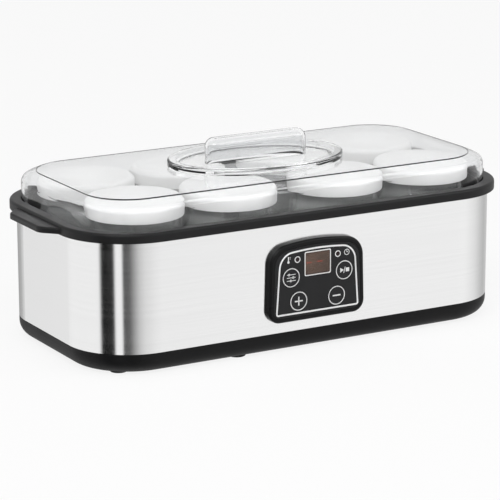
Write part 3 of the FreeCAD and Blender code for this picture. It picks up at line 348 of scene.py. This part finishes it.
def ring_at(bm, radius, height):
    """Edges of the circle at one radius and height."""
    def on_ring(vert):
        away = math.hypot(vert.co.x, vert.co.y)
        return abs(away - radius) < 0.01 and abs(vert.co.z - height) < 0.01
    return [edge for edge in bm.edges if all(on_ring(vert) for vert in edge.verts)]


def to_front(bm, x, z, depth):
    """Turn a shape drawn flat, facing +Z, to face the front, and put it on the panel."""
    bmesh.ops.rotate(bm, verts=bm.verts, matrix=Matrix.Rotation(math.pi / 2, 3, "X"))
    bmesh.ops.translate(bm, verts=bm.verts, vec=(x, depth, z))


def finish_piece(bm, name, material, carrier, stands_for=False, sharp=32.0):
    """Make the piece's object in metres, shade it and tie it to the body of the solid that carries it."""
    bmesh.ops.recalc_face_normals(bm, faces=bm.faces)
    bmesh.ops.scale(bm, verts=bm.verts, vec=(MM, MM, MM))
    mesh = bpy.data.meshes.new(name)
    bm.to_mesh(mesh)
    bm.free()
    mesh.materials.append(material)
    mesh.shade_smooth()
    mesh.set_sharp_from_angle(angle=math.radians(sharp))
    piece = bpy.data.objects.new(name, mesh)
    bpy.context.scene.collection.objects.link(piece)
    weighted = piece.modifiers.new("weighted_normals", "WEIGHTED_NORMAL")
    weighted.keep_sharp = True
    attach(piece, BODY_OF[carrier])
    if stands_for:
        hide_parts(carrier)
    return piece


# Caps and jars, with radii from the axis and heights from the foot

CAP_ROOF = 1.8
CAP_BORE = 33.2
CAP_BORE_FOOT = 33.0
CAP_FOOT_RADIUS = 34.5
CAP_RADIUS = 34.8
CAP_CROWN_RADIUS = 34.6
CAP_CROWN_HEIGHT = 4
CAP_CROWN_ROUND = 3.4
CAP_FOOT_ROUND = 0.5

JAR_RADIUS = 33.5
JAR_BORE = 30.9
JAR_FLOOR = 4
JAR_FOOT_HOLLOW = 0.6
JAR_HOLLOW_RADIUS = 24
JAR_STAND_RADIUS = 27
JAR_NECK_RADIUS = 30.2
JAR_MOUTH_RADIUS = 27.6
JAR_NECK_HEIGHT = 14.5
JAR_SHOULDER_HEIGHT = 7.0
JAR_SHOULDER_DROP = 1.3
JAR_FOOT_ROUND = 5.0
JAR_FLOOR_ROUND = 4.0
JAR_SHOULDER_ROUND = 3.0
JAR_NECK_ROUND = 2.0
JAR_LIP_ROUND = 0.9


def make_cap(node):
    x, y, _ = middle_of(node)
    top = highest(node, 2) - lowest(node, 2)
    roof = top - CAP_ROOF
    bm = bmesh.new()
    turn(bm, [
        (0, roof), (CAP_BORE, roof), (CAP_BORE_FOOT, 0), (CAP_FOOT_RADIUS, 0),
        (CAP_RADIUS, top - CAP_CROWN_HEIGHT), (CAP_CROWN_RADIUS, top), (0, top),
    ])
    soften(bm, ring_at(bm, CAP_CROWN_RADIUS, top), CAP_CROWN_ROUND, steps=6)
    soften(bm, ring_at(bm, CAP_FOOT_RADIUS, 0), CAP_FOOT_ROUND, steps=2)
    bmesh.ops.translate(bm, verts=bm.verts, vec=(x, y, lowest(node, 2)))
    finish_piece(bm, node + "_moulding", CAP_WHITE, node, stands_for=True)


def make_jar(node):
    x, y, _ = middle_of(node)
    lip = highest(node, 2) - lowest(node, 2)
    neck = lip - JAR_NECK_HEIGHT
    waist = neck - JAR_SHOULDER_HEIGHT
    bm = bmesh.new()
    turn(bm, [
        (0, JAR_FOOT_HOLLOW), (JAR_HOLLOW_RADIUS, JAR_FOOT_HOLLOW), (JAR_STAND_RADIUS, 0), (JAR_RADIUS, 0),
        (JAR_RADIUS, waist), (JAR_NECK_RADIUS, neck), (JAR_NECK_RADIUS, lip), (JAR_MOUTH_RADIUS, lip),
        (JAR_MOUTH_RADIUS, neck - JAR_SHOULDER_DROP), (JAR_BORE, waist - JAR_SHOULDER_DROP),
        (JAR_BORE, JAR_FLOOR), (0, JAR_FLOOR),
    ])
    soften(bm, ring_at(bm, JAR_RADIUS, 0), JAR_FOOT_ROUND, steps=5)
    soften(bm, ring_at(bm, JAR_RADIUS, waist), JAR_SHOULDER_ROUND, steps=5)
    soften(bm, ring_at(bm, JAR_NECK_RADIUS, neck), JAR_NECK_ROUND, steps=5)
    soften(bm, ring_at(bm, JAR_BORE, JAR_FLOOR), JAR_FLOOR_ROUND, steps=5)
    for radius in (JAR_NECK_RADIUS, JAR_MOUTH_RADIUS):
        soften(bm, ring_at(bm, radius, lip), JAR_LIP_ROUND, steps=3)
    bmesh.ops.translate(bm, verts=bm.verts, vec=(x, y, lowest(node, 2)))
    jar = finish_piece(bm, node + "_glass", JAR_GLASS, node, stands_for=True)
    jar.visible_shadow = False


# Control panel: keys, printed lines and marks, with depths behind the key's face

KEY_RADIUS = 7.0
KEY_FLANGE_RADIUS = 7.6
KEY_BACK = -3.5
KEY_FLANGE_FRONT = -2.7
KEY_ROUND = 0.25
KEY_RING_INNER = 6.25
KEY_RING_OUTER = 6.85

OUTLINE_FOOT = 29.4
OUTLINE_TOP = 73.8
OUTLINE_HALF_FOOT = 34.1
OUTLINE_HALF_TOP = 31.0
OUTLINE_FOOT_CORNER = 2.0
OUTLINE_TOP_CORNER = 9.5
OUTLINE_WIDTH = 1.2
OUTLINE_ARCH = 2.4
OUTLINE_ARCH_START = 55
OUTLINE_ARCH_BLEND = 15

# Length, width and corner of the line round the window
WINDOW_LINE_OUTSIDE = (21.6, 17.6, 1.2)
WINDOW_LINE_INSIDE = (20.2, 16.2, 0.8)

LAMP_ACROSS = 16.6
LAMP_HEIGHT = 69.0
LAMP_MARK_ACROSS = 24.0
LAMP_MARK_HEIGHT = 69.3


def make_key(node):
    x, _, z = middle_of(node)
    bm = bmesh.new()
    turn(bm, [
        (0, KEY_BACK), (KEY_FLANGE_RADIUS, KEY_BACK), (KEY_FLANGE_RADIUS, KEY_FLANGE_FRONT),
        (KEY_RADIUS, KEY_FLANGE_FRONT), (KEY_RADIUS, 0), (0, 0),
    ], steps=48)
    soften(bm, ring_at(bm, KEY_RADIUS, 0), KEY_ROUND, steps=3)
    to_front(bm, x, z, lowest(node, 1))
    finish_piece(bm, node + "_cap", KEY_BLACK, node, stands_for=True)
    print_ring(node + "_ring", x, z, KEY_RING_INNER, KEY_RING_OUTER, node)


def print_ring(name, x, z, inner, outer, carrier):
    """Thin printed ring on the panel's face or on a key."""
    bm = bmesh.new()
    turn(bm, [(inner, 0), (inner, PRINT_DEPTH), (outer, PRINT_DEPTH), (outer, 0)], steps=48)
    to_front(bm, x, z, lowest(carrier, 1))
    finish_piece(bm, name, PRINT_WHITE, carrier)


def print_mark(name, x, z, carrier, bars=(), dots=(), material=PRINT_WHITE):
    """Printed mark made of bars and dots.
    A bar has its middle, length, thickness and turn in degrees; a dot its middle, radius and sides."""
    bm = bmesh.new()
    for across, up, length, thickness, angle in bars:
        verts = bmesh.ops.create_cube(bm, size=1.0)["verts"]
        bmesh.ops.scale(bm, verts=verts, vec=(length, thickness, PRINT_DEPTH))
        bmesh.ops.rotate(bm, verts=verts, matrix=Matrix.Rotation(math.radians(angle), 3, "Z"))
        bmesh.ops.translate(bm, verts=verts, vec=(across, up, PRINT_DEPTH / 2))
    for across, up, radius, sides in dots:
        verts = bmesh.ops.create_cone(
            bm, cap_ends=True, segments=sides, radius1=radius, radius2=radius, depth=PRINT_DEPTH,
        )["verts"]
        bmesh.ops.rotate(bm, verts=verts, matrix=Matrix.Rotation(math.radians(-90), 3, "Z"))
        bmesh.ops.translate(bm, verts=verts, vec=(across, up, PRINT_DEPTH / 2))
    to_front(bm, x, z, lowest(carrier, 1))
    return finish_piece(bm, name, material, carrier)


def make_panel_lines():
    """Printed outline: a trapezium with round corners and an arched top."""
    bm = bmesh.new()
    plan = [
        (-OUTLINE_HALF_FOOT, OUTLINE_FOOT), (OUTLINE_HALF_FOOT, OUTLINE_FOOT),
        (OUTLINE_HALF_TOP, OUTLINE_TOP), (-OUTLINE_HALF_TOP, OUTLINE_TOP),
    ]
    verts = [bm.verts.new((x, y, 0)) for x, y in plan]
    bm.faces.new(verts)
    for group, radius, steps in ((verts[:2], OUTLINE_FOOT_CORNER, 5), (verts[2:], OUTLINE_TOP_CORNER, 12)):
        bmesh.ops.bevel(
            bm, geom=group, offset=radius, offset_type="OFFSET", segments=steps,
            profile=0.5, affect="VERTICES", material=-1,
        )
    long_edges = [edge for edge in bm.edges if edge.calc_length() > 30]
    bmesh.ops.subdivide_edges(bm, edges=long_edges, cuts=16, use_grid_fill=False)
    for vert in bm.verts:
        share = max(0.0, min(1.0, (vert.co.y - OUTLINE_ARCH_START) / OUTLINE_ARCH_BLEND))
        vert.co.y += share * OUTLINE_ARCH * (1 - (vert.co.x / OUTLINE_HALF_TOP) ** 2)
    rim = bmesh.ops.inset_region(
        bm, faces=list(bm.faces), thickness=OUTLINE_WIDTH, depth=0, use_boundary=True, use_even_offset=True,
    )["faces"]
    inside = [face for face in bm.faces if face not in rim]
    bmesh.ops.delete(bm, geom=inside, context="FACES")
    raised = bmesh.ops.extrude_face_region(bm, geom=list(bm.faces))["geom"]
    top = [item for item in raised if isinstance(item, bmesh.types.BMVert)]
    bmesh.ops.translate(bm, verts=top, vec=(0, 0, PRINT_DEPTH))
    to_front(bm, 0, 0, lowest("panel_overlay", 1))
    finish_piece(bm, "panel_outline", PRINT_WHITE, "panel_overlay")


def make_window_frame():
    bm = bmesh.new()
    outer = [rounded_loop(bm, *WINDOW_LINE_OUTSIDE, height) for height in (0, PRINT_DEPTH)]
    inner = [rounded_loop(bm, *WINDOW_LINE_INSIDE, height) for height in (PRINT_DEPTH, 0)]
    loops = outer + inner
    for first, second in zip(loops, loops[1:] + loops[:1]):
        bmesh.ops.bridge_loops(bm, edges=first + second)
    x, _, z = middle_of("display_window")
    to_front(bm, x, z, lowest("panel_overlay", 1))
    finish_piece(bm, "window_frame_line", PRINT_WHITE, "panel_overlay")


def make_panel():
    for node in KEY_NAMES:
        make_key(node)
    places = {node: (middle_of(node)[0], middle_of(node)[2]) for node in KEY_NAMES}
    print_mark(
        "plus_mark", *places["plus_key"], "plus_key",
        bars=[(0, 0, 6.4, 0.95, 0), (0, 0, 6.4, 0.95, 90)],
    )
    print_mark("minus_mark", *places["minus_key"], "minus_key", bars=[(0, 0, 6.4, 0.95, 0)])
    print_mark(
        "choice_mark", *places["function_key"], "function_key",
        bars=[(0, 2.2, 7.0, 0.5, 0), (0, 0, 7.0, 0.5, 0), (0, -2.2, 7.0, 0.5, 0)],
        dots=[(-1.8, 2.2, 0.9, 24), (1.6, 0, 0.9, 24), (-0.4, -2.2, 0.9, 24)],
    )
    print_mark(
        "start_mark", *places["start_key"], "start_key",
        bars=[(0.2, 0, 4.6, 0.5, 75), (2.7, 0, 2.8, 2.8, 0)], dots=[(-2.3, 0, 2.0, 3)],
    )
    print_mark(
        "warmth_mark", -LAMP_MARK_ACROSS, LAMP_MARK_HEIGHT, "panel_overlay",
        bars=[(0, 0.7, 0.7, 3.4, 0), (1.3, 1.9, 0.9, 0.3, 0), (1.3, 0.9, 0.9, 0.3, 0)],
        dots=[(0, -1.4, 0.95, 24)],
    )
    print_mark(
        "hours_mark", LAMP_MARK_ACROSS, LAMP_MARK_HEIGHT, "panel_overlay",
        bars=[(0, 0.6, 0.4, 1.5, 0), (0.5, 0, 1.2, 0.4, 0)],
    )
    print_ring("hours_ring", LAMP_MARK_ACROSS, LAMP_MARK_HEIGHT, 1.75, 2.2, "panel_overlay")
    make_panel_lines()
    make_window_frame()
    for side, x in (("left", -LAMP_ACROSS), ("right", LAMP_ACROSS)):
        print_ring("lamp_ring_" + side, x, LAMP_HEIGHT, 1.75, 2.35, "panel_overlay")
    x, _, z = middle_of("led_display")
    print_mark(
        "display_dashes", x, z, "led_display",
        bars=[(-6.6, 0.4, 4.2, 0.9, 0), (2.4, 0.4, 4.2, 0.9, 0)], material=DISPLAY_RED,
    )


for node, finish in FINISHES.items():
    paint(node, finish)
frame["nodes"]["lid"].visible_shadow = False
for node in JARS:
    make_jar(node)
for node in CAPS:
    make_cap(node)
make_panel()


# Camera, at the photograph's place

AZIMUTH = math.radians(-29.775)
ELEVATION = math.radians(14.477)
ROLL = math.radians(-0.11)
CAMERA_PLACE = Vector((-0.90344, -1.57075, 0.52205))
FOCAL_LENGTH = 183.6
back = Vector((
    math.sin(AZIMUTH) * math.cos(ELEVATION),
    -math.cos(AZIMUTH) * math.cos(ELEVATION),
    math.sin(ELEVATION),
))
level = Vector((math.cos(AZIMUTH), math.sin(AZIMUTH), 0))
upright = back.cross(level)
right = level * math.cos(ROLL) + upright * math.sin(ROLL)
up = upright * math.cos(ROLL) - level * math.sin(ROLL)
lens = bpy.data.cameras.new("camera")
lens.sensor_width = 36.0
lens.lens = FOCAL_LENGTH
lens.clip_end = 50.0
camera = bpy.data.objects.new("camera", lens)
bpy.context.scene.collection.objects.link(camera)
turned = Matrix((right, up, back)).transposed().to_4x4()
camera.matrix_world = Matrix.Translation(CAMERA_PLACE) @ turned
bpy.context.scene.camera = camera


# Studio: pale floor, white surround, soft lamps

SURROUND_LIGHT = 0.55
FLOOR_WHITENESS = 0.86
FLOOR_HALF = 12.0
TENT_RADIUS = 8.0
TENT_FOOT = -14.0
TENT_SEAM = 1.1
TENT_TOP = 8.0


def seen_directly(tree):
    """One where a ray comes from the camera, a mirror or glass, so that all see the same white."""
    path = tree.nodes.new("ShaderNodeLightPath")
    total = path.outputs["Is Camera Ray"]
    for output in ("Is Glossy Ray", "Is Transmission Ray"):
        add = tree.nodes.new("ShaderNodeMath")
        add.operation = "MAXIMUM"
        tree.links.new(total, add.inputs[0])
        tree.links.new(path.outputs[output], add.inputs[1])
        total = add.outputs["Value"]
    return total


def make_surround():
    world = bpy.data.worlds.new("studio")
    bpy.context.scene.world = world
    world.use_nodes = True
    tree = world.node_tree
    tree.nodes.clear()
    output = tree.nodes.new("ShaderNodeOutputWorld")
    mix = tree.nodes.new("ShaderNodeMixShader")
    light = tree.nodes.new("ShaderNodeBackground")
    light.inputs["Color"].default_value = (1, 1, 1, 1)
    light.inputs["Strength"].default_value = SURROUND_LIGHT
    white = tree.nodes.new("ShaderNodeBackground")
    white.inputs["Color"].default_value = (1, 1, 1, 1)
    white.inputs["Strength"].default_value = 1.0
    tree.links.new(seen_directly(tree), mix.inputs["Fac"])
    tree.links.new(light.outputs["Background"], mix.inputs[1])
    tree.links.new(white.outputs["Background"], mix.inputs[2])
    tree.links.new(mix.outputs["Shader"], output.inputs["Surface"])


def stage_object(name, bm, material):
    mesh = bpy.data.meshes.new(name)
    bm.to_mesh(mesh)
    bm.free()
    mesh.materials.append(material)
    thing = bpy.data.objects.new(name, mesh)
    bpy.context.scene.collection.objects.link(thing)
    return thing


def make_floor():
    material = bpy.data.materials.new("floor_white")
    material.use_nodes = True
    tree = material.node_tree
    shader = tree.nodes["Principled BSDF"]
    shader.inputs["Base Color"].default_value = (0.86, 0.86, 0.86, 1)
    shader.inputs["Roughness"].default_value = 0.9
    shader.inputs["Specular IOR Level"].default_value = 0.1
    glow = tree.nodes.new("ShaderNodeEmission")
    glow.inputs["Strength"].default_value = 1.0
    share = tree.nodes.new("ShaderNodeMath")
    share.operation = "MULTIPLY"
    share.inputs[1].default_value = FLOOR_WHITENESS
    mix = tree.nodes.new("ShaderNodeMixShader")
    tree.links.new(seen_directly(tree), share.inputs[0])
    tree.links.new(share.outputs["Value"], mix.inputs["Fac"])
    tree.links.new(shader.outputs["BSDF"], mix.inputs[1])
    tree.links.new(glow.outputs["Emission"], mix.inputs[2])
    tree.links.new(mix.outputs["Shader"], tree.nodes["Material Output"].inputs["Surface"])
    bm = bmesh.new()
    bmesh.ops.create_grid(bm, x_segments=1, y_segments=1, size=FLOOR_HALF)
    floor = stage_object("floor", bm, material)
    floor.visible_glossy = False


# Brightness round the tent, by degrees from the front towards the left end
LOWER_LIGHT = {
    -180: 0.42, -165: 0.40, -150: 0.42, -130: 0.62, -109: 0.54, -95: 0.64, -75: 0.85, -50: 1.0,
    -30: 1.0, 0: 0.80, 10: 0.63, 18: 0.38, 26: 0.13, 36.5: 0.07, 39.5: 1.0, 50: 1.0, 53: 0.02, 74: 0.0,
    79: 1.0, 140: 1.0, 154: 0.92, 160: 0.72, 167: 0.50, 180: 0.42,
}
UPPER_LIGHT = {-180: 0.62, -120: 0.66, -90: 0.85, -40: 1.0, 90: 1.0, 120: 0.80, 150: 0.66, 180: 0.62}


def make_tent(name, light_round, low, high):
    """Length of a round wall that only mirrors see.
    The lower one is dark where the steel turns its corner, the upper one grey behind the lid."""
    material = bpy.data.materials.new(name)
    material.use_nodes = True
    tree = material.node_tree
    tree.nodes.clear()
    output = tree.nodes.new("ShaderNodeOutputMaterial")
    glow = tree.nodes.new("ShaderNodeEmission")
    coords = tree.nodes.new("ShaderNodeTexCoord")
    mapping = tree.nodes.new("ShaderNodeMapping")
    mapping.inputs["Rotation"].default_value = (0, 0, math.pi / 2)
    around = tree.nodes.new("ShaderNodeTexGradient")
    around.gradient_type = "RADIAL"
    ramp = tree.nodes.new("ShaderNodeValToRGB")
    stops = ramp.color_ramp.elements
    while len(stops) > 1:
        stops.remove(stops[-1])
    for count, (degrees, light) in enumerate(sorted(light_round.items(), reverse=True)):
        place = 0.5 - degrees / 360
        stop = stops.new(place) if count else stops[0]
        stop.position = place
        stop.color = (light, light, light, 1.0)
    tree.links.new(coords.outputs["Object"], mapping.inputs["Vector"])
    tree.links.new(mapping.outputs["Vector"], around.inputs["Vector"])
    tree.links.new(around.outputs["Fac"], ramp.inputs["Fac"])
    tree.links.new(ramp.outputs["Color"], glow.inputs["Color"])
    tree.links.new(glow.outputs["Emission"], output.inputs["Surface"])
    bm = bmesh.new()
    bmesh.ops.create_cone(
        bm, cap_ends=False, segments=96, radius1=TENT_RADIUS, radius2=TENT_RADIUS, depth=high - low,
    )
    bmesh.ops.translate(bm, verts=bm.verts, vec=(0, 0, (low + high) / 2))
    tent = stage_object(name, bm, material)
    for ray in ("camera", "diffuse", "transmission", "volume_scatter", "shadow"):
        setattr(tent, "visible_" + ray, False)


def make_lamp(name, place, aim, size, power):
    data = bpy.data.lights.new(name, "AREA")
    data.shape = "RECTANGLE"
    data.size = size[0]
    data.size_y = size[1]
    data.energy = power
    lamp = bpy.data.objects.new(name, data)
    bpy.context.scene.collection.objects.link(lamp)
    lamp.location = place
    lamp.rotation_euler = (Vector(aim) - Vector(place)).to_track_quat("-Z", "Y").to_euler()


make_surround()
make_floor()
make_tent("tent_below", LOWER_LIGHT, TENT_FOOT, TENT_SEAM)
make_tent("tent_above", UPPER_LIGHT, TENT_SEAM, TENT_TOP)
make_lamp("key_lamp", (-1.0, -1.2, 1.7), (0, 0, 0.06), (1.4, 1.0), 22)
make_lamp("fill_lamp", (1.4, -1.4, 1.2), (0, 0, 0.06), (1.2, 1.0), 9)

bpy.context.scene.view_settings.view_transform = "Standard"
